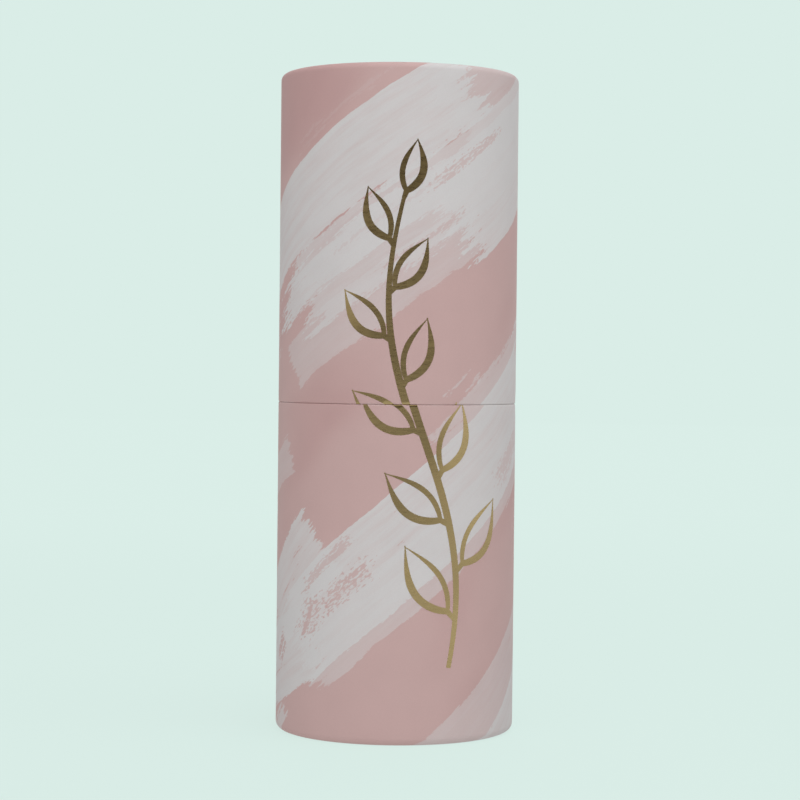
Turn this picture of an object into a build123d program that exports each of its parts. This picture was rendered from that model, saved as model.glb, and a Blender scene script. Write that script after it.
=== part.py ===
from build123d import *
import math
import os

# A tall round gift box of paper-covered board, in millimetres: a base with a neck glued into it,
# and a lid of the same height that slides down over the neck until the two mouths meet.
# The origin is the middle of the footprint, Z is the axis, and the laps of the wraps are at +Y.

# Whole box
outside_diameter = 80.0
base_height = 110.0
lid_height = 110.0
neck_stand = 35.0

# Board and paper
board_wall = 1.8
neck_wall = 1.2
disc_thickness = 2.0
wrap_paper = 0.18
plain_paper = 0.15
glue_film = 0.04

# Clearances
lid_clearance = 0.25
disc_clearance = 0.1
butt_gap = 0.3

# Curled rim: bends of the board, place of the lip in from the bore, its straight end and its fold
base_rim_bend = 0.6
lid_rim_bend = 0.2
lip_bend = 0.2
lip_inset = 1.6
lip_reach = 1.0
lip_fold = 0.3

# Mouths, turned-in paper and lap seams
mouth_edge = 0.25
neck_edge = 0.3
turn_in = 12.0
lap_width = 10.0

# Radii from the outside in
outer_radius = outside_diameter / 2
wrap_build = wrap_paper + glue_film
paper_build = plain_paper + glue_film
board_outer = outer_radius - wrap_build
board_bore = board_outer - board_wall
mouth_bore = board_bore - wrap_build
neck_outer = mouth_bore - lid_clearance
neck_board_outer = neck_outer - paper_build
neck_board_bore = neck_board_outer - neck_wall
neck_bore = neck_board_bore - paper_build

# Rim sizes that follow from the bends
lip_corner = lip_bend + board_wall + wrap_build
lip_board_back = board_bore - lip_inset
lip_board_front = lip_board_back - board_wall
lip_radius = lip_board_front - wrap_build
rim_recess = lip_corner + lip_reach

# Depths from the outer face of the rim to the layers of a closed end
disc_outer_depth = rim_recess + paper_build
disc_inner_depth = disc_outer_depth + disc_thickness
end_paper_depth = disc_inner_depth + glue_film

# The neck stands on the end disc of the base
neck_bottom = disc_inner_depth + glue_film
neck_top = base_height + neck_stand


def band_section(corners, radii, thickness):
    """Section of a sheet bent at right angles, turning left; the points are on its outside."""
    steps = [(Vector(*b) - Vector(*a)).normalized() for a, b in zip(corners, corners[1:])]
    normals = [Vector(-step.Y, step.X) for step in steps]
    bends = [before + after for before, after in zip(normals, normals[1:])]
    shifts = [normals[0], *bends, normals[-1]]
    inside = [Vector(*point) + shift * thickness for point, shift in zip(corners, shifts)]
    outer = FilletPolyline(*corners, radius=radii)
    inner = FilletPolyline(*inside, radius=[radius - thickness for radius in radii])
    start = Line(outer @ 0, inner @ 0)
    end = Line(outer @ 1, inner @ 1)
    return make_face([*outer.edges(), *inner.edges(), start, end])


def turned(section, arc=360):
    """Solid swept from a section in radius and height about the Z axis."""
    return revolve(Plane.XZ * section, axis=Axis.Z, revolution_arc=arc)


def ring_section(outer, inner, low, high):
    """Rectangle between two radii and two heights."""
    return Pos((outer + inner) / 2, (low + high) / 2) * Rectangle(outer - inner, high - low)


def ring(outer, inner, low, high):
    """Plain tube between two radii and two heights."""
    return turned(ring_section(outer, inner, low, high))


def disc(radius, low, high):
    """Flat round plate between two heights."""
    return Pos(0, 0, low) * Cylinder(radius, high - low, align=(Align.CENTER, Align.CENTER, Align.MIN))


def shell_board(height, rim_bend):
    """Board tube with its far end curled inwards; the mouth is at zero and the rim is on top."""
    mouth = wrap_build
    rim = height - wrap_build
    lip_end = height - rim_recess + glue_film + wrap_build
    corners = [
        (board_bore, mouth),
        (board_outer, mouth),
        (board_outer, rim),
        (lip_board_front, rim),
        (lip_board_front, lip_end),
        (lip_board_back, lip_end),
        (lip_board_back, rim - board_wall),
        (board_bore, rim - board_wall),
    ]
    bends = [mouth_edge, mouth_edge, rim_bend + board_wall, lip_bend + board_wall, 0, 0, lip_bend, rim_bend]
    outline = FilletPolyline(*corners, radius=bends, close=True)
    return turned(make_face(outline.edges()))


def shell_wrap(height, rim_bend):
    """Printed paper from inside the mouth, over the wall and the rim, to its fold under the lip."""
    fold = height - rim_recess + glue_film
    corners = [
        (mouth_bore, turn_in),
        (mouth_bore, 0),
        (outer_radius, 0),
        (outer_radius, height),
        (lip_radius, height),
        (lip_radius, fold),
        (lip_board_back, fold),
    ]
    mouth_corner = mouth_edge + wrap_build
    rim_corner = rim_bend + board_wall + wrap_build
    bends = [mouth_corner, mouth_corner, rim_corner, lip_corner, lip_fold]
    sheet = turned(band_section(corners, bends, wrap_paper))
    return sheet + wrap_lap(mouth_corner, height - rim_corner)


def wrap_lap(low, high):
    """Strip where one edge of the wrap is glued over the other, centred on +Y."""
    section = ring_section(outer_radius + wrap_paper, outer_radius - wrap_paper / 2, low, high)
    arc = math.degrees(lap_width / outer_radius)
    return Rot(0, 0, 90 - arc / 2) * turned(section, arc)


def end_disc(height):
    """Board disc that closes the curled end, seated behind the lip."""
    return disc(board_bore - disc_clearance, height - disc_inner_depth, height - disc_outer_depth)


def end_facing(height):
    """Paper on the outer face of the end disc, seen inside the rim."""
    floor = height - rim_recess
    return disc(board_bore - disc_clearance, floor - plain_paper, floor)


def end_paper(height, radius):
    """Round paper on the inner face of the end disc."""
    top = height - end_paper_depth
    return disc(radius, top - plain_paper, top)


def lid_lining(height):
    """Paper inside the lid, from the end of the turned-in wrap to the end disc."""
    outer = board_bore - glue_film
    return ring(outer, outer - plain_paper, turn_in + butt_gap, height - disc_inner_depth - butt_gap)


def neck_board():
    """Inner board tube that stands on the base's end disc and rises into the lid."""
    section = ring_section(neck_board_outer, neck_board_bore, neck_bottom, neck_top - paper_build)
    return turned(fillet(section.vertices().group_by(Axis.Y)[-1], neck_edge))


def neck_cover():
    """Paper over the outside of the neck, turned over its top edge into the bore."""
    corners = [
        (neck_outer, neck_bottom),
        (neck_outer, neck_top),
        (neck_bore, neck_top),
        (neck_bore, neck_top - turn_in),
    ]
    corner = neck_edge + paper_build
    return turned(band_section(corners, [corner, corner], plain_paper))


def neck_lining():
    """Paper inside the neck, from the base's floor to the end of the turned-in cover."""
    outer = neck_board_bore - glue_film
    return ring(outer, outer - plain_paper, neck_bottom, neck_top - turn_in - butt_gap)


# Base: the shell is turned over so that its mouth faces up
base_place = Pos(0, 0, base_height) * Rot(0, 180, 0)
base = {
    "base_board_tube": shell_board(base_height, base_rim_bend),
    "base_printed_wrap": shell_wrap(base_height, base_rim_bend),
    "base_end_disc": end_disc(base_height),
    "base_bottom_facing": end_facing(base_height),
    "base_floor_paper": end_paper(base_height, neck_bore - disc_clearance),
}

# Neck: already at its height in the base
neck = {
    "neck_board_tube": neck_board(),
    "neck_cover_paper": neck_cover(),
    "neck_lining_paper": neck_lining(),
}

# Lid: its mouth rests on the mouth of the base
lid_place = Pos(0, 0, base_height)
lid = {
    "lid_board_tube": shell_board(lid_height, lid_rim_bend),
    "lid_printed_wrap": shell_wrap(lid_height, lid_rim_bend),
    "lid_end_disc": end_disc(lid_height),
    "lid_top_facing": end_facing(lid_height),
    "lid_lining_paper": lid_lining(lid_height),
    "lid_ceiling_paper": end_paper(lid_height, mouth_bore - lid_clearance),
}

parts = {name: base_place * shape for name, shape in base.items()}
parts.update(neck)
parts.update({name: lid_place * shape for name, shape in lid.items()})

os.makedirs("parts", exist_ok=True)
for name, shape in parts.items():
    export_step(shape, f"parts/{name}.step")

top = base_height + lid_height
print(f"box {outside_diameter:g} by {top:g} mm, neck bore {2 * neck_bore:.2f} mm")
print(f"lid slides off after {neck_stand:g} mm of lift")
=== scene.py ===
import math
from collections import namedtuple

import bmesh
import bpy
from bpy.props import FloatProperty, FloatVectorProperty, IntProperty, PointerProperty
from bpy.types import Operator, Panel, PropertyGroup
from mathutils import Matrix, Vector


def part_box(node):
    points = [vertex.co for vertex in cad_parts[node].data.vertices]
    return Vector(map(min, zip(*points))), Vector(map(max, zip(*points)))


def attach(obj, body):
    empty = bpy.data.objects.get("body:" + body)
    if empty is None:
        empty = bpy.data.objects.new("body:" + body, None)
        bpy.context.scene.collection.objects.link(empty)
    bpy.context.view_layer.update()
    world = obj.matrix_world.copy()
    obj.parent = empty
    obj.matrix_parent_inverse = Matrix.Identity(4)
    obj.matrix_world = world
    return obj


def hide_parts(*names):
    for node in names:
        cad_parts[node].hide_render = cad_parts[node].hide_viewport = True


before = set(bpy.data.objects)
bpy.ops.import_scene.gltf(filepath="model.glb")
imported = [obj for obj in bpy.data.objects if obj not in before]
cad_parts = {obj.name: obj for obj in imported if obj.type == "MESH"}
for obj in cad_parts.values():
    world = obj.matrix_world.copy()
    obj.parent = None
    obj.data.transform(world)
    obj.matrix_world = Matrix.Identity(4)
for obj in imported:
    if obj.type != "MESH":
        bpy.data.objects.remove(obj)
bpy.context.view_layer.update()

bl_info = {
    "name": "Round gift tube",
    "version": (1, 0, 0),
    "blender": (4, 5, 0),
    "location": "View3D > Sidebar > Gift tube",
    "description": "Dresses a tall round gift box in printed paper and foil",
    "category": "Object",
}

MM = 0.001

# Sizes read from the frame
wrap_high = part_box("base_printed_wrap")[1]
neck_low, neck_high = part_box("neck_cover_paper")
RADIUS = wrap_high.x
SEAM = wrap_high.z
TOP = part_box("lid_printed_wrap")[1].z
NECK_RADIUS = neck_high.x
NECK_FOOT = neck_low.z
NECK_TOP = neck_high.z
RIM_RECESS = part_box("base_bottom_facing")[0].z

# Paper and board under it
PRINTED_PAPER = 0.18 * MM
PLAIN_PAPER = 0.15 * MM
GLUE = 0.04 * MM
BOARD = 1.8 * MM
NECK_BOARD = 1.2 * MM

# Rounded rim, lip and mouths of the two shells
BASE_RIM_CORNER = 2.62 * MM
LID_RIM_CORNER = 2.22 * MM
LIP_CORNER = 2.22 * MM
LIP_INSET = 1.6 * MM
LIP_FOLD = 0.3 * MM
MOUTH_CORNER = 0.47 * MM
MOUTH_CLEARANCE = 0.005 * MM
NECK_CORNER = 0.49 * MM
TURN_IN = 12.0 * MM
LAP = 10.0 * MM

MOUTH_BORE = RADIUS - 2 * (PRINTED_PAPER + GLUE) - BOARD
LIP_BACK = MOUTH_BORE + PRINTED_PAPER + GLUE - LIP_INSET
LIP_RADIUS = LIP_BACK - BOARD - PRINTED_PAPER - GLUE
NECK_BORE = NECK_RADIUS - 2 * (PLAIN_PAPER + GLUE) - NECK_BOARD

# Half of the lap's width, as an angle about the axis
HALF_LAP = LAP / 2 / RADIUS


# Sizes and colours that a user would change, and what all the colours share
COLOR = {"subtype": "COLOR", "size": 3, "min": 0, "max": 1}


class TubePrint(PropertyGroup):
    """Printed paper of the two wraps and of the lid's top"""

    ground: FloatVectorProperty(
        name="Ground", description="Pink that the paper is printed in",
        default=(0.594, 0.409, 0.395), **COLOR)
    deep: FloatVectorProperty(
        name="Deep ground", description="Pink where the ground's wash is thicker",
        default=(0.540, 0.342, 0.333), **COLOR)
    ink: FloatVectorProperty(
        name="Ink", description="White of the brush strokes", default=(0.668, 0.654, 0.656), **COLOR)
    bristle: FloatProperty(
        name="Bristle", description="Width of the finest streaks", unit="LENGTH",
        min=0.0002, max=0.003, default=0.8 * MM)
    fibre: FloatProperty(
        name="Fibre", description="Size of the paper's fibres", unit="LENGTH",
        min=0.0001, max=0.003, default=0.35 * MM)
    roughness: FloatProperty(
        name="Roughness", description="Roughness of the matt surface", subtype="FACTOR",
        min=0, max=1, default=0.62)
    slip: FloatProperty(
        name="Slip", description="How far print and foil of the two halves miss each other",
        unit="LENGTH", default=2.2 * MM)


class TubePaper(PropertyGroup):
    """Plain paper, board and the folds of the wraps"""

    white: FloatVectorProperty(
        name="White", description="Plain lining paper", default=(0.70, 0.675, 0.64), **COLOR)
    board: FloatVectorProperty(
        name="Board", description="Wound grey board", default=(0.36, 0.33, 0.29), **COLOR)
    pleats: IntProperty(
        name="Pleats", description="Fine gathers of the wrap round the lip of a rim",
        min=0, max=300, default=96)
    mouth_gap: FloatProperty(
        name="Mouth gap", description="Small places where the mouths don't quite close",
        unit="LENGTH", min=0, max=0.0003, default=0.05 * MM)
    pleat_depth: FloatProperty(
        name="Pleat depth", description="How far a gather stands out", unit="LENGTH",
        min=0, max=0.0005, default=0.09 * MM)


class TubeFoil(PropertyGroup):
    """Gold twig on the front"""

    gold: FloatVectorProperty(
        name="Gold", description="Colour of the foil", default=(0.545, 0.422, 0.208), **COLOR)
    line: FloatProperty(
        name="Line", description="Full width of the drawn line", unit="LENGTH",
        min=0.0005, max=0.005, default=2.5 * MM)
    film: FloatProperty(
        name="Film", description="Thickness of the foil on the paper", unit="LENGTH",
        min=0.00001, max=0.0002, default=0.035 * MM)
    leaves: IntProperty(
        name="Leaves", description="Leaves along the stem", min=1, max=30, default=11)
    leaf_length: FloatProperty(
        name="Leaf length", description="Length of a leaf low on the stem", unit="LENGTH",
        min=0.005, max=0.06, default=31 * MM)
    leaf_width: FloatProperty(
        name="Leaf width", description="Width of a leaf low on the stem", unit="LENGTH",
        min=0.002, max=0.03, default=10.5 * MM)
    low: FloatProperty(
        name="Low end", description="Height of the stem's foot", unit="LENGTH", default=25 * MM)
    high: FloatProperty(
        name="High end", description="Height of the stem's tip", unit="LENGTH", default=176 * MM)
    across: FloatProperty(
        name="Across", description="Place of the stem round the wall, from the front line",
        unit="LENGTH", default=12 * MM)


class TubeStage(PropertyGroup):
    """Floor, lights and camera"""

    backdrop: FloatVectorProperty(
        name="Backdrop", description="Pale floor and background",
        default=(0.701, 0.847, 0.799), **COLOR)
    distance: FloatProperty(
        name="Camera distance", description="From the box's axis", unit="LENGTH",
        default=777 * MM)
    height: FloatProperty(
        name="Camera height", description="Above the floor", unit="LENGTH", default=123.6 * MM)
    aside: FloatProperty(
        name="Camera aside", description="To the right of the axis", unit="LENGTH",
        default=1.0 * MM)
    tilt: FloatProperty(
        name="Camera tilt", description="Downwards", subtype="ANGLE", default=math.radians(0.94))
    roll: FloatProperty(
        name="Camera roll", description="About the line of sight", subtype="ANGLE",
        default=math.radians(0.57))
    lens: FloatProperty(
        name="Lens", description="Focal length in millimetres on a 36 mm sensor", default=103.4)
    key: FloatProperty(
        name="Key light", description="Power of the large soft light in front, in watts", default=12.3)
    top: FloatProperty(
        name="Top light", description="Power of the soft light overhead, in watts", default=11.0)
    sky: FloatProperty(
        name="Room light", description="Strength of the even light all round", default=0.495)
    fill: FloatProperty(
        name="Fill light", description="Power of the soft light behind, in watts", default=9.0)
    dark: FloatProperty(
        name="Dark front", description="What shiny foil mirrors of the room before it", default=0.07)
    bright: FloatProperty(
        name="Bright sides", description="What shiny foil mirrors of the rest", default=0.80)


# Node trees


class Link:
    """An output in a node tree that can stand in a sum."""

    def __init__(self, graph, output):
        self.graph = graph
        self.output = output

    def other(self, name):
        """Another output of the same node."""
        return Link(self.graph, self.output.node.outputs[name])

    def __add__(self, value):
        return self.graph.math("ADD", self, value)

    def __radd__(self, value):
        return self.graph.math("ADD", value, self)

    def __sub__(self, value):
        return self.graph.math("SUBTRACT", self, value)

    def __rsub__(self, value):
        return self.graph.math("SUBTRACT", value, self)

    def __mul__(self, value):
        return self.graph.math("MULTIPLY", self, value)

    def __rmul__(self, value):
        return self.graph.math("MULTIPLY", value, self)

    def __truediv__(self, value):
        return self.graph.math("DIVIDE", self, value)

    def __rtruediv__(self, value):
        return self.graph.math("DIVIDE", value, self)

    def __pow__(self, value):
        return self.graph.math("POWER", self, value)

    def __neg__(self):
        return self.graph.math("MULTIPLY", self, -1.0)

    def __abs__(self):
        return self.graph.math("ABSOLUTE", self)


class Graph:
    """Adds nodes to one tree and hands back their outputs."""

    def __init__(self, tree):
        self.tree = tree

    def node(self, kind, settings=None, values=None, output=0):
        """A node of any type, its settings made first and then its sockets' values or links."""
        made = self.tree.nodes.new(kind)
        for name, value in (settings or {}).items():
            setattr(made, name, value)
        for socket, value in (values or {}).items():
            for part in value if isinstance(value, list) else [value]:
                if isinstance(part, Link):
                    self.tree.links.new(part.output, made.inputs[socket])
                else:
                    made.inputs[socket].default_value = part
        return Link(self, made.outputs[output]) if made.outputs else made

    def math(self, operation, *values):
        """A Math node with one to three values."""
        return self.node("ShaderNodeMath", {"operation": operation}, dict(enumerate(values)))

    def least(self, first, *rest):
        """The smallest of several values."""
        for value in rest:
            first = self.math("MINIMUM", first, value)
        return first

    def rise(self, value, low, high):
        """0 below low, 1 above high, and smooth between."""
        limits = {"Value": value, "From Min": low, "From Max": high}
        return self.node("ShaderNodeMapRange", {"interpolation_type": "SMOOTHSTEP"}, limits)

    def vector(self, x, y, z=0.0):
        """Three values as one vector."""
        return self.node("ShaderNodeCombineXYZ", None, {"X": x, "Y": y, "Z": z})

    def noise(self, place, detail=1.0, flat=True, roughness=0.5):
        """Perlin noise between 0 and 1 whose grain is one unit of place."""
        settings = {"noise_dimensions": "2D" if flat else "3D"}
        values = {"Vector": place, "Scale": 1.0, "Detail": detail, "Roughness": roughness}
        return self.node("ShaderNodeTexNoise", settings, values)

    def mix(self, share, first, second):
        """The first colour, turned into the second by a share."""
        first, second = (tone if isinstance(tone, Link) else (*tone, 1) for tone in (first, second))
        values = {0: share, 6: first, 7: second}
        return self.node("ShaderNodeMix", {"data_type": "RGBA"}, values, output=2)


def finish_of(name, metallic=0.0, roughness=0.6, specular=0.5):
    """A new material, its graph and its surface shader."""
    material = bpy.data.materials.new(name)
    material.use_nodes = True
    graph = Graph(material.node_tree)
    shader = material.node_tree.nodes["Principled BSDF"]
    shader.inputs["Metallic"].default_value = metallic
    shader.inputs["Roughness"].default_value = roughness
    shader.inputs["Specular IOR Level"].default_value = specular
    return material, graph, shader


def feed(graph, shader, socket, value):
    """Links a value to a socket of the surface shader or of the output."""
    graph.tree.links.new(value.output, shader.inputs[socket])


def add_bump(graph, shader, strength, depth, height):
    """Relief of the surface, with a depth in metres."""
    values = {"Strength": strength, "Distance": depth, "Height": height}
    feed(graph, shader, "Normal", graph.node("ShaderNodeBump", None, values))


def place_in_mm(graph):
    """Object coordinates as three values in millimetres."""
    place = graph.node("ShaderNodeTexCoord", output="Object")
    parts = graph.node("ShaderNodeSeparateXYZ", None, {0: place})
    return parts / MM, parts.other("Y") / MM, parts.other("Z") / MM


def unrolled(graph, slip):
    """Place on the unrolled wrap in millimetres: across from the front line, and up.

    The sheet's two edges meet at one side of the lap, and the base's sheet is slipped a little.
    """
    x, y, z = place_in_mm(graph)
    wide = RADIUS / MM
    across = graph.math("ARCTAN2", x, -y) * wide
    beyond = graph.math("GREATER_THAN", across, math.pi * wide - LAP / MM / 2)
    across = across - beyond * (math.tau * wide)
    radius = graph.math("SQRT", x * x + y * y)
    on_lid = graph.math("GREATER_THAN", z, SEAM / MM)
    up = z + (on_lid * 2 - 1) * (wide - radius)
    return across - (1 - on_lid) * (slip / MM), up


# Print: brush strokes on the unrolled wrap

# One stroke: its middle, length and width in millimetres and its turn in degrees; how many
# millimetres its two edges, its start and its end take to fade; how full the brush is; and how
# strongly it covers, below zero for strokes in the ground's pink
Stroke = namedtuple("Stroke", "across up length width turn low_edge high_edge start end load strength")


def socket_name(field):
    """Name of the socket that takes one value of a stroke."""
    return field.replace("_", " ").capitalize()


FRONT_STROKES = [
    Stroke(23, 183, 155, 28, 34, 3, 1.6, 16, 10, 1.25, 0.72),
    Stroke(-36, 174, 159, 27, 34, 2.6, 0.5, 22, 12, 1.35, 0.95),
    Stroke(3, 174, 140, 14, 34, 2.4, 2, 22, 14, 1.1, 0.9),
    Stroke(51, 192, 96, 36, 34, 1, 3, 16, 20, 1.2, 0.92),
    Stroke(37, 217, 56, 30, 34, 2, 3, 10, 12, 1.15, 0.5),
    Stroke(-24, 203, 48, 6, 34, 4, 4, 16, 16, 0.9, 0.12),
    Stroke(-6.3, 145.4, 89.5, 18, 35, 1.4, 1.6, 3.5, 10, 1.4, 0.48),
    Stroke(22.5, 117, 16, 9, 44, 3, 3, 6, 6, 0.22, 0.45),
    Stroke(24, 190, 40, 4.4, 34, 2, 2, 14, 14, 0.62, -0.55),
    Stroke(8, 163, 40, 4, 34, 2, 2, 14, 14, 0.6, -0.5),
    Stroke(-4, 171, 60, 2.6, 34, 1.6, 1.6, 20, 20, 0.7, -0.22),
    Stroke(13, 76, 150, 31, 40, 1, 0.5, 15, 12, 1.25, 0.94),
    Stroke(37, 117, 74, 13, 40, 2, 3, 6, 12, 1.15, 0.5),
    Stroke(14.3, 63.7, 133, 20, 40, 1.2, 3, 10, 14, 1.2, 0.5),
    Stroke(-47.1, 47, 55, 29, 44, 2.5, 3, 20, 5, 1.1, 0.88),
    Stroke(-51, 24.8, 50, 26, 27, 1, 0.8, 14, 8, 1.3, 0.94),
    Stroke(-61.5, 85, 40, 14, 25, 1.5, 2, 8, 3, 1.2, 0.42),
    Stroke(-19, 51, 27, 9, 38, 4.5, 4.5, 12, 12, 0.53, -0.8),
    Stroke(-33, 41, 19, 11, 66, 5, 5, 8, 8, 0.52, -0.8),
    Stroke(-50, 29, 13, 8, 58, 3.5, 3.5, 6, 6, 0.55, -0.8),
    Stroke(-27, 58, 30, 5, 42, 2.4, 2.4, 12, 12, 0.66, -0.6),
    Stroke(28, 44, 60, 5, 40, 2.4, 2.4, 20, 20, 0.62, -0.5),
    Stroke(47, 93, 32, 11, 42, 5, 5, 12, 12, 0.62, -0.4),
    Stroke(41, 19, 104, 19, 41, 2.4, 1.2, 10, 10, 1.3, 0.5),
    Stroke(58, 8, 110, 28, 41, 2.4, 2, 12, 10, 1.25, 0.9),
    Stroke(-54, 3, 22, 8, 42, 3, 1.6, 10, 8, 0.75, 0.7),
]

BACK_STROKES = [
    Stroke(-104, 200, 60, 22, 36, 1.8, 1.2, 16, 24, 1.2, 0.92),
    Stroke(-92, 104, 96, 18, 38, 1.8, 2.2, 10, 16, 1.3, 0.48),
    Stroke(-101.3, 57.4, 90, 32, 41, 1.6, 1.4, 24, 10, 1.2, 0.93),
    Stroke(-88, 14, 70, 17, 40, 1.8, 1.2, 12, 12, 1.2, 0.48),
    Stroke(96, 150, 92, 30, 38, 1.4, 2.2, 26, 14, 1.2, 0.93),
    Stroke(104, 118, 70, 14, 38, 1.8, 1.8, 8, 8, 1.3, 0.46),
    Stroke(108, 62, 96, 34, 42, 1.6, 1.2, 16, 34, 1.15, 0.92),
    Stroke(100, 58, 30, 9, 42, 4, 4, 14, 14, 0.55, -0.75),
]

TOP_STROKES = [
    Stroke(5, -3, 46, 11, 37, 1.4, 2, 8, 10, 1.2, 0.5),
    Stroke(-20, 7, 62, 21, 34, 1.6, 0.6, 14, 14, 1.25, 0.94),
    Stroke(29, -20, 66, 22, 40, 1.2, 1, 14, 16, 1.2, 0.92),
    Stroke(-18, 10, 24, 6, 36, 3, 3, 12, 12, 0.6, -0.7),
]

# Length of a streak in millimetres, and how far apart the strokes are read from the noise
STREAK_LENGTH = 30.0
SEED_STEP = 7.3

# Grain of the noise that bends the strokes and of that which roughens their edges, in millimetres
BEND_GRAIN = 28
EDGE_GRAIN = 2.2

# Dabs in the dry patches: their turn, length and width in millimetres
SPECKLE_TURN = math.radians(40)
SPECKLE_LENGTH = 1.9
SPECKLE_WIDTH = 0.75

# Wash of the ground: its place in the noise, and its length and width in millimetres
WASH_PLACE = 66.5
WASH_LENGTH = 110
WASH_WIDTH = 44


def stroke_group(bristle):
    """A node group that lays one brush stroke over the share of white so far.

    Streaks tell more in white strokes, and dabs in pink ones.
    """
    group = bpy.data.node_groups.get("brush_stroke")
    if group:
        return group
    group = bpy.data.node_groups.new("brush_stroke", "ShaderNodeTree")
    names = ["White", "Place across", "Place up", "Speckle", "Seed", *map(socket_name, Stroke._fields)]
    for name in names:
        group.interface.new_socket(name, in_out="INPUT", socket_type="NodeSocketFloat")
    group.interface.new_socket("White", in_out="OUTPUT", socket_type="NodeSocketFloat")
    graph = Graph(group)
    given = graph.node("NodeGroupInput").other
    right = given("Place across") - given("Across")
    rise = given("Place up") - given("Up")
    cosine = graph.math("COSINE", given("Turn"))
    sine = graph.math("SINE", given("Turn"))
    along = right * cosine + rise * sine
    aside = rise * cosine - right * sine
    place = graph.vector(along / STREAK_LENGTH + given("Seed"), aside / (bristle * 3) + given("Seed"))
    streak = (graph.noise(place, 3.0, roughness=0.68) - 0.5) * 7
    load = graph.least(
        (aside + given("Width") / 2) / given("Low edge"),
        (given("Width") / 2 - aside) / given("High edge"),
        (along + given("Length") / 2) / given("Start"),
        (given("Length") / 2 - along) / given("End"),
        given("Load"))
    goal = graph.math("GREATER_THAN", given("Strength"), 0.0)
    load = load + streak * (goal * 0.14 + 0.22) + given("Speckle") * (0.33 - goal * 0.17)
    cover = graph.rise(load, 0.40, 0.60)
    thick = graph.least(streak * 0.09 + 0.93, 1.0)
    share = cover * thick * abs(given("Strength"))
    graph.node("NodeGroupOutput", None, {0: given("White") + (goal - given("White")) * share})
    return group


def print_color(graph, across, up, strokes, settings):
    """The ground's uneven wash with all the strokes laid over it in their order."""
    wander = graph.noise(graph.vector(across / BEND_GRAIN, up / BEND_GRAIN), 2.0) - 0.5
    rough = graph.noise(graph.vector(across / EDGE_GRAIN + 9, up / EDGE_GRAIN), 2.0) - 0.5
    across = across + wander * 3.0 + rough * 0.45
    up = up + wander * 4.0 + rough * 0.45
    cosine = math.cos(SPECKLE_TURN)
    sine = math.sin(SPECKLE_TURN)
    along = across * cosine + up * sine
    aside = up * cosine - across * sine
    dabs = graph.vector(along / SPECKLE_LENGTH, aside / SPECKLE_WIDTH)
    speckle = (graph.noise(dabs, 2.0, roughness=0.6) - 0.5) * 6
    group = stroke_group(settings.bristle / MM)
    white = 0.0
    for seed, stroke in enumerate(strokes):
        values = {socket_name(field): value for field, value in stroke._asdict().items()}
        values.update({
            "Turn": math.radians(stroke.turn), "White": white, "Place across": across,
            "Place up": up, "Speckle": speckle, "Seed": seed * SEED_STEP})
        white = graph.node("ShaderNodeGroup", {"node_tree": group}, values)
    wash = graph.noise(graph.vector(along / WASH_LENGTH + WASH_PLACE, aside / WASH_WIDTH), 2.0)
    ground = graph.mix(graph.rise(wash, 0.45, 0.75), tuple(settings.ground), tuple(settings.deep))
    return graph.mix(white, ground, tuple(settings.ink))


# Papers: depth of the fibres' bump, strength of the clouds in the colour, and unevenness of the gloss
PRINT_FEEL = {"depth": 0.05 * MM, "clouds": 0.05, "spread": 0.12}
LINING_FEEL = {"depth": 0.06 * MM, "clouds": 0.06, "spread": 0.15}

# Length of the slow waves in a sheet in millimetres, and the light tone of a fold at a mouth: partly rubbed
# wear, partly a painted highlight
WAVE_LENGTH = 9
RUBBED_AND_HIGHLIGHT_TONE = (0.72, 0.70, 0.68)

# Radii in millimetres that turn an angle into a length, of the linings for their butt seam and of
# the board for its plies; and the radius outside which the butt seam is drawn
SEAM_RADIUS = 37
PLY_RADIUS = 38
DISC_RADIUS = 35


def shade(color, share):
    """A colour made darker or lighter."""
    return tuple(min(1.0, share * tone) for tone in color)


def paper_grain(graph, fibre):
    """Fine fibres and slow waves of a sheet of paper, each between 0 and 1."""
    x, y, z = place_in_mm(graph)
    size = fibre / MM
    grain = graph.noise(graph.vector(x / size, y / size, z / size), 3.0, flat=False)
    waves = graph.noise(graph.vector(x / WAVE_LENGTH, y / WAVE_LENGTH, z / WAVE_LENGTH), 1.0, flat=False)
    return grain, waves


def finish_paper(graph, shader, color, grain, waves, dull, depth, clouds, spread):
    """Feeds the shader with a faintly mottled colour, an uneven gloss and the fibres' bump."""
    mottle = (grain - 0.5) * 0.10 + (waves - 0.5) * clouds + 1.0
    color = graph.node("ShaderNodeVectorMath", {"operation": "SCALE"}, {0: color, "Scale": mottle})
    feed(graph, shader, "Base Color", color)
    feed(graph, shader, "Roughness", (grain - 0.5) * spread + dull)
    add_bump(graph, shader, 0.35, depth, grain * 0.3 + waves * 1.2)


def printed_paper(settings):
    """Matt printed wrap: brush strokes, faint fibres, and folds at the mouths made lighter, partly as rubbed
    wear and partly as a painted highlight.
    """
    material, graph, shader = finish_of("tube_print", specular=0.3)
    across, up = unrolled(graph, settings.slip)
    color = print_color(graph, across, up, FRONT_STROKES + BACK_STROKES, settings)
    grain, waves = paper_grain(graph, settings.fibre)
    # Near each mouth the paper turns lighter: partly rubbed wear, partly a painted highlight of the fold
    # catching light
    fold = graph.rise(abs(up - SEAM / MM), 0.5, 0.15)
    rubbed_and_highlight = fold * graph.rise(grain + waves * 0.4, 0.62, 0.82) * 0.5
    color = graph.mix(rubbed_and_highlight, color, RUBBED_AND_HIGHLIGHT_TONE)
    finish_paper(graph, shader, color, grain, waves, settings.roughness, **PRINT_FEEL)
    return material


def printed_disc(settings):
    """The same print on the round facing of the lid."""
    material, graph, shader = finish_of("top_print", specular=0.3)
    x, y, _ = place_in_mm(graph)
    color = print_color(graph, x, y, TOP_STROKES, settings)
    grain, waves = paper_grain(graph, settings.fibre)
    finish_paper(graph, shader, color, grain, waves, settings.roughness, **PRINT_FEEL)
    return material


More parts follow.
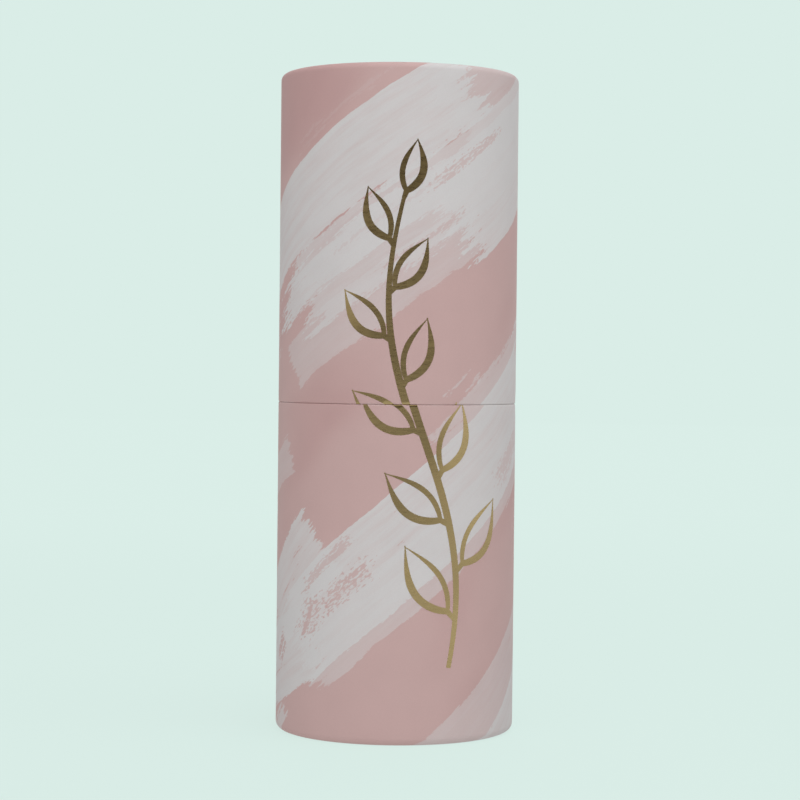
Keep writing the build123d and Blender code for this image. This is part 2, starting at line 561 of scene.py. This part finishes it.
def white_paper(settings, fibre):
    """Plain lining paper with its butt seam at the back."""
    material, graph, shader = finish_of("lining_paper", specular=0.25)
    x, y, z = place_in_mm(graph)
    grain, waves = paper_grain(graph, fibre)
    seam = graph.rise(abs(graph.math("ARCTAN2", x, y)) * SEAM_RADIUS, 0.25, 0.08) * 0.35
    seam = seam * graph.math("GREATER_THAN", x * x + y * y, DISC_RADIUS ** 2)
    grey = shade(settings.white, 0.72)
    color = graph.mix(seam, tuple(settings.white), grey)
    specks = graph.rise(graph.noise(graph.vector(x * 1.1, y * 1.1, z * 1.1), 2.0, flat=False), 0.70, 0.78)
    color = graph.mix(specks * 0.10, color, grey)
    finish_paper(graph, shader, color, grain, waves, 0.75, **LINING_FEEL)
    return material


def grey_board(settings):
    """Wound board with its long fibres running round the tube."""
    material, graph, shader = finish_of("wound_board", roughness=0.9)
    x, y, z = place_in_mm(graph)
    turn = graph.math("ARCTAN2", x, -y) * PLY_RADIUS
    plies = graph.noise(graph.vector(turn / 6, (z - turn * 0.35) * 1.4), 3.0)
    flecks = graph.noise(graph.vector(x * 1.6, y * 1.6, z * 1.6), 3.0, flat=False)
    tone = graph.rise(plies * 0.6 + flecks * 0.4, 0.35, 0.7)
    color = graph.mix(tone, shade(settings.board, 0.6), tuple(settings.board))
    add_bump(graph, shader, 0.5, 0.08 * MM, plies * 0.5 + flecks * 0.5)
    feed(graph, shader, "Base Color", color)
    return material


def gold_foil(settings):
    """Hot-stamped foil: fine ripples from the paper below it, and large dull and bright patches in its colour
    that are a painted reflection.
    """
    material, graph, shader = finish_of("stamped_foil", metallic=1.0, roughness=0.32)
    x, y, z = place_in_mm(graph)
    ripple = graph.noise(graph.vector(x * 0.35, y * 0.35, z * 1.1), 1.0, flat=False)
    # The dull and bright patches are a painted reflection of the room, laid into the foil's colour as darker
    # and brighter gold
    painted_reflection_patch = graph.noise(graph.vector(x / 22, y / 22, z / 34), 1.0, flat=False)
    tone = graph.rise(painted_reflection_patch * 0.85 + ripple * 0.15, 0.32, 0.68)
    color = graph.mix(tone, shade(settings.gold, 0.84), shade(settings.gold, 1.12))
    feed(graph, shader, "Base Color", color)
    feed(graph, shader, "Roughness", ripple * 0.16 + 0.20)
    add_bump(graph, shader, 0.3, 0.05 * MM, ripple)
    return material


def material_of(name, make, *settings):
    """One of the materials, made the first time that it is asked for."""
    return bpy.data.materials.get(name) or make(*settings)


# Turned paper shells

# Steps round the axis, steps in a bend, the longest step along a wall, and the angle in which the
# lap's edge falls to the sheet below
TURNS = 288
ARC_STEPS = 7
WALL_STEP = 4.0 * MM
LAP_EDGE = 0.0008

# Slack with which a point is taken to be on the wall or on the rim, distance in metres at which
# points become one, and the angle from which an edge is sharp
SLACK = 0.01 * MM
WELD = 1e-7
SHARP = math.radians(40)

# Turns of the waves that keep the mouths from closing all round, and how many eighths of the
# number of pleats go into each wave of the gathers
MOUTH_WAVES = (3, 5, 8, 13)
PLEAT_EIGHTHS = (8, 5, 11)

# Rings of a round paper, as shares of its radius
RINGS = (0.08, 0.3, 0.55, 0.8, 1.0)


def bent_path(corners, radii):
    """Points along right-angled runs whose corners are rounded, with the outward side of each."""
    points = [Vector(corner) for corner in corners]
    runs = [(end - start).normalized() for start, end in zip(points, points[1:])]
    path = [(points[0], Vector((runs[0].y, -runs[0].x)))]
    for point, radius, run, onward in zip(points[1:], radii, runs, runs[1:]):
        centre = point + (onward - run) * radius
        for step in range(ARC_STEPS + 1):
            angle = math.pi / 2 * step / ARC_STEPS
            out = run * math.sin(angle) - onward * math.cos(angle)
            path.append((centre + out * radius, out))
    path.append((points[-1], Vector((runs[-1].y, -runs[-1].x))))
    return path


def divided(path, longest):
    """The same path with extra points on its long runs."""
    points = [path[0]]
    for (start, _), (end, out) in zip(path, path[1:]):
        parts = max(1, math.ceil((end - start).length / longest))
        for part in range(1, parts):
            points.append((start.lerp(end, part / parts), out))
        points.append((end, out))
    return points


def around(extra=()):
    """Angles from the front, round to the right, in even steps and with any extra ones."""
    even = [math.tau * turn / TURNS for turn in range(TURNS)]
    return sorted([*even, *(angle % math.tau for angle in extra)])


def turned_point(mesh, radius, angle, height):
    """A vertex at a radius, an angle from the front and a height."""
    return mesh.verts.new((radius * math.sin(angle), -radius * math.cos(angle), height))


def skin(mesh, columns, closed):
    """Faces between neighbouring columns of vertices, all the way round."""
    count = len(columns[0])
    for left, right in zip(columns, columns[1:] + columns[:1]):
        for low in range(count if closed else count - 1):
            high = (low + 1) % count
            mesh.faces.new((left[low], right[low], right[high], left[high]))


def turned_sheet(name, path, thickness, angles, relief=None):
    """A sheet turned about Z. The path is its outside, as (radius, height) and outward side."""
    outside = [(point, out, True) for point, out in path]
    inside = [(point - out * thickness, out, False) for point, out in reversed(path)]
    section = outside + inside
    mesh = bmesh.new()
    columns = []
    for angle in angles:
        column = []
        for point, out, outer in section:
            lift = relief(angle, point) if relief and outer else 0.0
            radius, height = point + out * lift
            column.append(turned_point(mesh, radius, angle, height))
        columns.append(column)
    skin(mesh, columns, closed=True)
    return as_piece(name, mesh)


def round_sheet(name, radius, low, high):
    """A flat round paper with softened edges, as rings about Z."""
    edge = (high - low) / 3
    reach = radius - edge
    rings = [reach * share for share in RINGS]
    section = [(ring, low) for ring in rings] + [(radius, low + edge), (radius, high - edge)]
    section += [(ring, high) for ring in reversed(rings)]
    mesh = bmesh.new()
    columns = [[turned_point(mesh, ring, angle, height) for ring, height in section] for angle in around()]
    skin(mesh, columns, closed=False)
    for end, height in ((0, low), (-1, high)):
        middle = mesh.verts.new((0, 0, height))
        for left, right in zip(columns, columns[1:] + columns[:1]):
            mesh.faces.new((left[end], right[end], middle))
    return as_piece(name, mesh)


def placed(name, data):
    """A new object in the scene."""
    made = bpy.data.objects.new(name, data)
    bpy.context.scene.collection.objects.link(made)
    return made


def mesh_data(name, mesh):
    """Mesh data with its faces turned outwards; the working mesh is freed."""
    bmesh.ops.recalc_face_normals(mesh, faces=mesh.faces)
    data = bpy.data.meshes.new(name)
    mesh.to_mesh(data)
    mesh.free()
    return data


def as_piece(name, mesh):
    """A smooth-shaded object from a closed working mesh."""
    bmesh.ops.remove_doubles(mesh, verts=mesh.verts, dist=WELD)
    data = mesh_data(name, mesh)
    for polygon in data.polygons:
        polygon.use_smooth = True
    data.set_sharp_from_angle(angle=SHARP)
    return placed(name, data)


def dress(piece, material, body, slot, *nodes):
    """Gives a piece its finish and its body, and hides the CAD nodes that it stands for."""
    piece.data.materials.clear()
    piece.data.materials.append(material)
    if nodes:
        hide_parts(*nodes)
    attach(piece, body)


def wrap_corners(end, way):
    """Outside of a wrap from its turned-in edge, over mouth, wall and rim, to its fold."""
    fold = end - way * (RIM_RECESS - GLUE)
    return [
        (MOUTH_BORE, SEAM + way * TURN_IN),
        (MOUTH_BORE, SEAM),
        (RADIUS, SEAM),
        (RADIUS, end),
        (LIP_RADIUS, end),
        (LIP_RADIUS, fold),
        (LIP_BACK, fold),
    ]


def wave_sum(angle, counts):
    """Sum of even waves round the axis, each with its own number of turns."""
    return sum(math.sin(angle * count + count) for count in counts)


def wrap_relief(end, rim_corner, settings):
    """Lap seam at the back, uneven mouth, and fine gathers round the lip of the rim."""
    low = min(SEAM, end)
    high = max(SEAM, end)
    pleats = [settings.pleats * eighths // 8 for eighths in PLEAT_EIGHTHS]

    def relief(angle, point):
        radius, height = point
        lift = 0.0
        on_wall = radius > RADIUS - SLACK and low + MOUTH_CORNER <= height <= high - MOUTH_CORNER
        clear_of_rim = abs(height - end) >= rim_corner - SLACK
        if on_wall and clear_of_rim and abs(angle - math.pi) <= HALF_LAP:
            lift = PRINTED_PAPER
        if abs(height - SEAM) < MOUTH_CORNER:
            lift -= MOUTH_CLEARANCE
            if radius > RADIUS - MOUTH_CORNER:
                lift -= settings.mouth_gap * max(0.0, wave_sum(angle, MOUTH_WAVES) * 0.6 + 0.4)
        inwards = (LIP_RADIUS + LIP_CORNER - radius) / LIP_CORNER
        if abs(height - end) < RIM_RECESS and 0 < inwards <= 1.001:
            lift += settings.pleat_depth * inwards ** 2 * max(0.0, wave_sum(angle, pleats)) / 2
        return lift

    return relief


def make_wrap(name, end, rim_corner, body, node, settings, material):
    """One printed wrap; the base's is drawn from the rim so that it turns the same way."""
    way = 1 if end > SEAM else -1
    corners = wrap_corners(end, way)
    radii = [MOUTH_CORNER, MOUTH_CORNER, rim_corner, LIP_CORNER, LIP_FOLD]
    if way < 0:
        corners = corners[::-1]
        radii = radii[::-1]
    path = divided(bent_path(corners, radii), WALL_STEP)
    steps = [math.pi + side * (HALF_LAP + edge) for side in (-1, 1) for edge in (0, LAP_EDGE)]
    relief = wrap_relief(end, rim_corner, settings)
    sheet = turned_sheet(name, path, PRINTED_PAPER, around(steps), relief)
    dress(sheet, material, body, "printed_paper", node)


# Foil twig

# Points along the stem and along one side of a leaf
STEM_POINTS = 260
LEAF_POINTS = 40

# How far the stem sways and how far it drifts to the left on its way up
SWAY = 8 * MM
DRIFT = 9 * MM

# Lean of the lowest leaves from the stem in radians, how much of it the uppermost lose, and how
# much smaller those are
LEAN = 0.72
LEAN_LOSS = 0.16
SHRINK = 0.36

# Share of a leaf that is its stalk, its bow, and the steps in height that keep lines that cross
# from lying in one plane
STALK = 0.14
BOW = 1.2 * MM
STEM_STEP = 0.004 * MM
LEAF_STEP = 0.002 * MM

# Heights above the mouth, as shares of its corner, at which the foil bends with the paper
FOLD_STEPS = (0.1, 0.3, 0.6, 1.0)


def foil_tree(settings, material):
    """Draws a leafy twig as flat foil lines and lays it round the wall."""
    tree = bpy.data.node_groups.new("foil_twig", "GeometryNodeTree")
    tree.interface.new_socket("Geometry", in_out="INPUT", socket_type="NodeSocketGeometry")
    tree.interface.new_socket("Geometry", in_out="OUTPUT", socket_type="NodeSocketGeometry")
    for name in ("Line", "Film", "Leaf length", "Leaf width", "Low", "High", "Across", "Radius"):
        tree.interface.new_socket(name, in_out="INPUT", socket_type="NodeSocketFloat")
    tree.interface.new_socket("Leaves", in_out="INPUT", socket_type="NodeSocketInt")
    graph = Graph(tree)
    given = graph.node("NodeGroupInput").other
    stem = stem_curve(graph, given)
    lines = leaf_lines(graph, given, stem)
    joined = graph.node("GeometryNodeJoinGeometry", None, {0: [lines, stem]})
    ribbon = ribbon_mesh(graph, given, joined)
    wrapped = laid_round(graph, given, ribbon)
    whole = graph.node("GeometryNodeRealizeInstances", None, {0: wrapped})
    finished = graph.node("GeometryNodeSetMaterial", None, {0: whole, "Material": material})
    graph.node("NodeGroupOutput", None, {0: finished})
    return tree


def stem_curve(graph, given):
    """A slender stem that sways as it climbs."""
    share = graph.node("GeometryNodeSplineParameter")
    sway = graph.math("SINE", share * 5.6 + 0.5) * SWAY - share * DRIFT
    height = given("Low") + share * (given("High") - given("Low"))
    place = graph.vector(given("Across") + sway, height, STEM_STEP)
    return drawn(graph, STEM_POINTS, place, 0.55, 0.5, 1.0)


def drawn(graph, points, place, foot, tip, weight):
    """A curve with the width of a drawn line, which thins to a share of it at both ends."""
    line = graph.node("GeometryNodeCurvePrimitiveLine", {"mode": "POINTS"})
    dense = graph.node("GeometryNodeResampleCurve", None, {"Curve": line, "Count": points})
    curve = graph.node("GeometryNodeSetPosition", None, {"Geometry": dense, "Position": place})
    share = graph.node("GeometryNodeSplineParameter")
    swell = graph.rise(share, -0.15, 0.35) * (1 - foot) + foot
    thin = graph.rise(1 - share, -0.05, 0.45) * (1 - tip) + tip
    return graph.node(
        "GeometryNodeSetCurveRadius", None, {"Curve": curve, "Radius": swell * thin * weight})


def leaf_lines(graph, given, stem):
    """Two drawn sides for each leaf, left and right of the stem in turn, and one at the tip."""
    count = given("Leaves")
    spots = graph.node("GeometryNodeCurveToPoints", {"mode": "COUNT"}, {"Curve": stem, "Count": count})
    tangent = graph.node("ShaderNodeSeparateXYZ", None, {0: spots.other("Tangent")})
    index = graph.node("GeometryNodeInputIndex")
    share = index / (count - 1)
    hand = graph.math("MODULO", index, 2.0) * 2 - 1
    last = graph.math("GREATER_THAN", index, count - 1.5)
    lean = hand * (LEAN - share * LEAN_LOSS) * (1 - last)
    heading = graph.math("ARCTAN2", tangent.other("Y"), tangent) + lean
    size = 1 - share * SHRINK
    turn = graph.node("FunctionNodeEulerToRotation", None, {0: graph.vector(0.0, 0.0, heading)})
    first = graph.math("GREATER_THAN", index, 0.5)
    sides = []
    for side in (-1.0, 1.0):
        edge = leaf_side(graph, given, side)
        sides.append(graph.node(
            "GeometryNodeInstanceOnPoints", None,
            {"Points": spots, "Selection": first, "Instance": edge, "Rotation": turn,
             "Scale": graph.vector(size, size * hand, size)}))
    joined = graph.node("GeometryNodeJoinGeometry", None, {0: sides})
    return graph.node("GeometryNodeRealizeInstances", None, {0: joined})


def leaf_side(graph, given, side):
    """One side of a leaf, from its stalk to its pointed tip."""
    share = graph.node("GeometryNodeSplineParameter")
    blade = graph.node(
        "ShaderNodeMapRange", None, {"Value": share, "From Min": STALK, "From Max": 1.0})
    belly = graph.math("SINE", blade ** 0.82 * math.pi)
    out = belly * given("Leaf width") * (side / 2) - share * share * (side * 0.2 * MM)
    bow = graph.math("SINE", share * math.pi) * BOW
    place = graph.vector(share * given("Leaf length"), out + bow, (side + 1) * LEAF_STEP)
    return drawn(graph, LEAF_POINTS, place, 0.45, 0.10, 0.86 + side * 0.14)


def ribbon_mesh(graph, given, curves):
    """Flat ribbons along the drawn lines."""
    level = graph.node("GeometryNodeSetCurveNormal", {"mode": "Z_UP"}, {"Curve": curves})
    strip = graph.node(
        "GeometryNodeCurvePrimitiveQuadrilateral", None,
        {"Width": given("Line"), "Height": given("Film")})
    width = graph.node("GeometryNodeInputRadius")
    return graph.node(
        "GeometryNodeCurveToMesh", None,
        {"Curve": level, "Profile Curve": strip, "Scale": width, "Fill Caps": True})


def laid_round(graph, given, flat):
    """Flat drawing to the tube's wall: across becomes an angle, and its thickness a radius."""
    place = graph.node("GeometryNodeInputPosition")
    parts = graph.node("ShaderNodeSeparateXYZ", None, {0: place})
    angle = parts / given("Radius")
    reach = given("Radius") + parts.other("Z") + given("Film") / 2
    wrapped = graph.vector(
        reach * graph.math("SINE", angle), -(reach * graph.math("COSINE", angle)), parts.other("Y"))
    return graph.node("GeometryNodeSetPosition", None, {"Geometry": flat, "Position": wrapped})


def twig_mesh(settings, material):
    """The whole twig as one plain mesh."""
    tree = foil_tree(settings, material)
    sheet = placed("foil_sheet", bpy.data.meshes.new("foil_sheet"))
    modifier = sheet.modifiers.new("Twig", "NODES")
    modifier.node_group = tree
    values = {
        "Line": settings.line, "Film": settings.film, "Leaf length": settings.leaf_length,
        "Leaf width": settings.leaf_width, "Low": settings.low, "High": settings.high,
        "Across": settings.across, "Radius": RADIUS, "Leaves": settings.leaves}
    for item in tree.interface.items_tree:
        if item.name in values:
            modifier[item.identifier] = values[item.name]
    evaluated = sheet.evaluated_get(bpy.context.evaluated_depsgraph_get())
    mesh = bpy.data.meshes.new_from_object(evaluated)
    bpy.data.objects.remove(sheet)
    return mesh


def everything(mesh):
    """All vertices, edges and faces of a working mesh."""
    return [*mesh.verts, *mesh.edges, *mesh.faces]


def foil_half(name, twig, way, slip, material, body):
    """The part of the twig on one shell, cut at the mouth and folded over its rounded edge."""
    mesh = bmesh.new()
    mesh.from_mesh(twig)
    cut = bmesh.ops.bisect_plane(
        mesh, geom=everything(mesh), plane_co=(0, 0, SEAM), plane_no=(0, 0, -way), clear_outer=True)
    bmesh.ops.holes_fill(mesh, edges=[e for e in cut["geom_cut"] if isinstance(e, bmesh.types.BMEdge)])
    for share in FOLD_STEPS:
        height = SEAM + way * MOUTH_CORNER * share
        bmesh.ops.bisect_plane(mesh, geom=everything(mesh), plane_co=(0, 0, height), plane_no=(0, 0, 1))
    for vert in mesh.verts:
        gap = MOUTH_CORNER - abs(vert.co.z - SEAM)
        if gap > 0:
            drop = MOUTH_CORNER - math.sqrt(max(0.0, MOUTH_CORNER ** 2 - gap ** 2))
            reach = vert.co.xy.length
            vert.co.xy *= (reach - drop) / reach
    if way < 0:
        bmesh.ops.transform(mesh, matrix=Matrix.Rotation(slip / RADIUS, 4, "Z"), verts=mesh.verts)
    piece = as_piece(name, mesh)
    dress(piece, material, body, "gold_foil")


# Stage

# Radius of the floor in metres, its tone as the box sees it, its own light, and how much of that it
# has near the box; the rest takes the box's shadow and fades out between two distances in millimetres
FLOOR_RADIUS = 4.0
FLOOR_TONE = (0.63, 0.62, 0.61)
FLOOR_GLOW = 1.005
GLOW_SHARE = 0.86
FADE = (250, 1100)

# Tint of what shiny foil mirrors in front, and the share of the way to the front where that begins
# and where it is full
FRONT_TINT = (1, 0.82, 0.58)
FRONT = (0.55, 0.85)

# Place and width in metres of each soft light, under the property that holds its power
LIGHTS = {
    "key": ((-0.22, -1.65, 0.08), 1.6),
    "fill": ((0.3, 1.65, 0.5), 1.6),
    "top": ((0.3, -0.4, 1.62), 1.2),
}


def backdrop_material(settings):
    """Pale even surface that still takes a soft shadow."""
    material, graph, shader = finish_of("backdrop", roughness=1.0, specular=0.0)
    shader.inputs["Base Color"].default_value = (*settings.backdrop, 1)
    seen = graph.node("ShaderNodeLightPath", output="Is Camera Ray")
    shown = graph.mix(seen, FLOOR_TONE, tuple(settings.backdrop))
    glow = graph.node("ShaderNodeEmission", None, {"Color": shown, "Strength": FLOOR_GLOW})
    lit = Link(graph, shader.outputs["BSDF"])
    x, y, _ = place_in_mm(graph)
    far = graph.rise(graph.math("SQRT", x * x + y * y), *FADE)
    share = far * (1 - GLOW_SHARE) + GLOW_SHARE
    mixed = graph.node("ShaderNodeMixShader", None, {"Fac": share, 1: lit, 2: glow})
    feed(graph, material.node_tree.nodes["Material Output"], "Surface", mixed)
    return material


def make_floor(settings):
    """A wide round floor."""
    mesh = bmesh.new()
    bmesh.ops.create_circle(mesh, cap_ends=True, segments=96, radius=FLOOR_RADIUS)
    floor = placed("floor", mesh_data("floor", mesh))
    floor.data.materials.append(backdrop_material(settings))


def make_light(name, place, target, size, power):
    """A square soft light that faces a point and that foil doesn't mirror."""
    data = bpy.data.lights.new(name, "AREA")
    data.shape = "SQUARE"
    data.size = size
    data.energy = power
    light = placed(name, data)
    light.location = place
    light.rotation_euler = (Vector(target) - Vector(place)).to_track_quat("-Z", "Y").to_euler()
    light.visible_glossy = False


def make_room(settings):
    """Even light all round; the camera sees the backdrop, and foil a dark front and bright sides."""
    world = bpy.data.worlds.new("room")
    world.use_nodes = True
    bpy.context.scene.world = world
    graph = Graph(world.node_tree)
    world.node_tree.nodes.clear()
    seen = graph.node("ShaderNodeLightPath", output="Is Camera Ray")
    backdrop = (*settings.backdrop, 1)
    wall = graph.node("ShaderNodeBackground", None, {"Color": backdrop, "Strength": 1.0})
    toward = graph.node("ShaderNodeTexCoord", output="Generated")
    toward = graph.node("ShaderNodeSeparateXYZ", None, {0: toward})
    front = graph.rise(-toward.other("Y"), *FRONT)
    glossy = seen.other("Is Glossy Ray")
    mirrored = settings.bright + front * (settings.dark - settings.bright)
    strength = settings.sky + glossy * (mirrored - settings.sky)
    tint = graph.mix(front * glossy, (1, 1, 1), FRONT_TINT)
    even = graph.node("ShaderNodeBackground", None, {"Color": tint, "Strength": strength})
    both = graph.node("ShaderNodeMixShader", None, {"Fac": seen, 1: even, 2: wall})
    graph.node("ShaderNodeOutputWorld", None, {"Surface": both})


def make_camera(settings):
    """A long lens level with the middle of the box, looking slightly down."""
    data = bpy.data.cameras.new("camera")
    data.lens = settings.lens
    data.sensor_width = 36
    data.clip_start = 0.05
    data.clip_end = 20
    camera = placed("camera", data)
    camera.location = (settings.aside, -settings.distance, settings.height)
    tilt = Matrix.Rotation(math.pi / 2 - settings.tilt, 4, "X")
    roll = Matrix.Rotation(settings.roll, 4, "Z")
    camera.rotation_euler = (tilt @ roll).to_euler()
    bpy.context.scene.camera = camera


# Operators


def lining_material(scene):
    """The plain white paper."""
    return material_of("lining_paper", white_paper, scene.tube_paper, scene.tube_print.fibre)


class TUBE_OT_wraps(Operator):
    """Makes the printed wraps of the base and the lid"""

    bl_idname = "tube.wraps"
    bl_label = "Printed wraps"

    def execute(self, context):
        scene = context.scene
        material = material_of("tube_print", printed_paper, scene.tube_print)
        paper = scene.tube_paper
        make_wrap("base_wrap", 0.0, BASE_RIM_CORNER, "base", "base_printed_wrap", paper, material)
        make_wrap("lid_wrap", TOP, LID_RIM_CORNER, "lid", "lid_printed_wrap", paper, material)
        return {"FINISHED"}


class TUBE_OT_round_papers(Operator):
    """Makes the round papers on both sides of the two end discs"""

    bl_idname = "tube.round_papers"
    bl_label = "Round papers"

    def execute(self, context):
        white = lining_material(context.scene)
        printed = material_of("top_print", printed_disc, context.scene.tube_print)
        rounds = [
            ("bottom_facing", "base_bottom_facing", "base", white, "white_paper"),
            ("floor_paper", "base_floor_paper", "base", white, "white_paper"),
            ("top_facing", "lid_top_facing", "lid", printed, "printed_paper"),
            ("ceiling_paper", "lid_ceiling_paper", "lid_carrier", white, "white_paper"),
        ]
        for name, node, body, material, slot in rounds:
            low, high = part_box(node)
            piece = round_sheet(name, high.x, low.z, high.z)
            dress(piece, material, body, slot, node)
        return {"FINISHED"}


class TUBE_OT_linings(Operator):
    """Makes the neck's cover and the papers inside the neck and the lid"""

    bl_idname = "tube.linings"
    bl_label = "Neck cover and linings"

    def execute(self, context):
        white = lining_material(context.scene)
        corners = [
            (NECK_RADIUS, NECK_FOOT), (NECK_RADIUS, NECK_TOP),
            (NECK_BORE, NECK_TOP), (NECK_BORE, NECK_TOP - TURN_IN)]
        path = divided(bent_path(corners, [NECK_CORNER, NECK_CORNER]), WALL_STEP)
        cover = turned_sheet("neck_cover", path, PLAIN_PAPER, around())
        dress(cover, white, "base", "white_paper", "neck_cover_paper")
        for name, node, body in (
                ("neck_lining", "neck_lining_paper", "base"), ("lid_lining", "lid_lining_paper", "lid")):
            low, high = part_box(node)
            bore = high.x - PLAIN_PAPER
            path = divided(bent_path([(bore, high.z), (bore, low.z)], []), WALL_STEP)
            lining = turned_sheet(name, path, PLAIN_PAPER, around())
            dress(lining, white, body, "white_paper", node)
        return {"FINISHED"}


class TUBE_OT_boards(Operator):
    """Gives the board tubes and end discs their finish"""

    bl_idname = "tube.boards"
    bl_label = "Board"

    def execute(self, context):
        board = material_of("wound_board", grey_board, context.scene.tube_paper)
        for name in ("base_board_tube", "neck_board_tube", "lid_board_tube", "base_end_disc", "lid_end_disc"):
            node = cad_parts[name]
            node.data.materials.clear()
            node.data.materials.append(board)
        return {"FINISHED"}


class TUBE_OT_foil(Operator):
    """Stamps the gold twig on the front of both shells"""

    bl_idname = "tube.foil"
    bl_label = "Foil twig"

    def execute(self, context):
        settings = context.scene.tube_foil
        material = material_of("stamped_foil", gold_foil, settings)
        twig = twig_mesh(settings, material)
        if not twig.polygons:
            raise RuntimeError("the twig has no faces")
        slip = context.scene.tube_print.slip
        foil_half("foil_on_lid", twig, 1, slip, material, "lid")
        foil_half("foil_on_base", twig, -1, slip, material, "base")
        bpy.data.meshes.remove(twig)
        return {"FINISHED"}


class TUBE_OT_stage(Operator):
    """Sets the pale floor, the soft light and the camera"""

    bl_idname = "tube.stage"
    bl_label = "Stage"

    def execute(self, context):
        settings = context.scene.tube_stage
        make_floor(settings)
        make_room(settings)
        middle = (0, 0, TOP / 2)
        for light, (place, width) in LIGHTS.items():
            make_light(f"{light}_light", place, middle, width, getattr(settings, light))
        make_camera(settings)
        context.scene.view_settings.view_transform = "Standard"
        return {"FINISHED"}


STEPS = (
    TUBE_OT_wraps,
    TUBE_OT_round_papers,
    TUBE_OT_linings,
    TUBE_OT_boards,
    TUBE_OT_foil,
    TUBE_OT_stage,
)


class TUBE_PT_panel(Panel):
    """A button for each step"""

    bl_label = "Gift tube"
    bl_idname = "TUBE_PT_panel"
    bl_space_type = "VIEW_3D"
    bl_region_type = "UI"
    bl_category = "Gift tube"

    def draw(self, context):
        for step in STEPS:
            self.layout.operator(step.bl_idname)


GROUPS = {"tube_print": TubePrint, "tube_paper": TubePaper, "tube_foil": TubeFoil, "tube_stage": TubeStage}
CLASSES = (*GROUPS.values(), *STEPS, TUBE_PT_panel)


def register():
    for kind in CLASSES:
        bpy.utils.register_class(kind)
    for name, group in GROUPS.items():
        setattr(bpy.types.Scene, name, PointerProperty(type=group))


def unregister():
    for name in GROUPS:
        delattr(bpy.types.Scene, name)
    for kind in CLASSES:
        bpy.utils.unregister_class(kind)


def main():
    """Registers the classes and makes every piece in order."""
    register()
    bpy.ops.tube.wraps()
    bpy.ops.tube.round_papers()
    bpy.ops.tube.linings()
    bpy.ops.tube.boards()
    bpy.ops.tube.foil()
    bpy.ops.tube.stage()


if __name__ == "__main__":
    main()
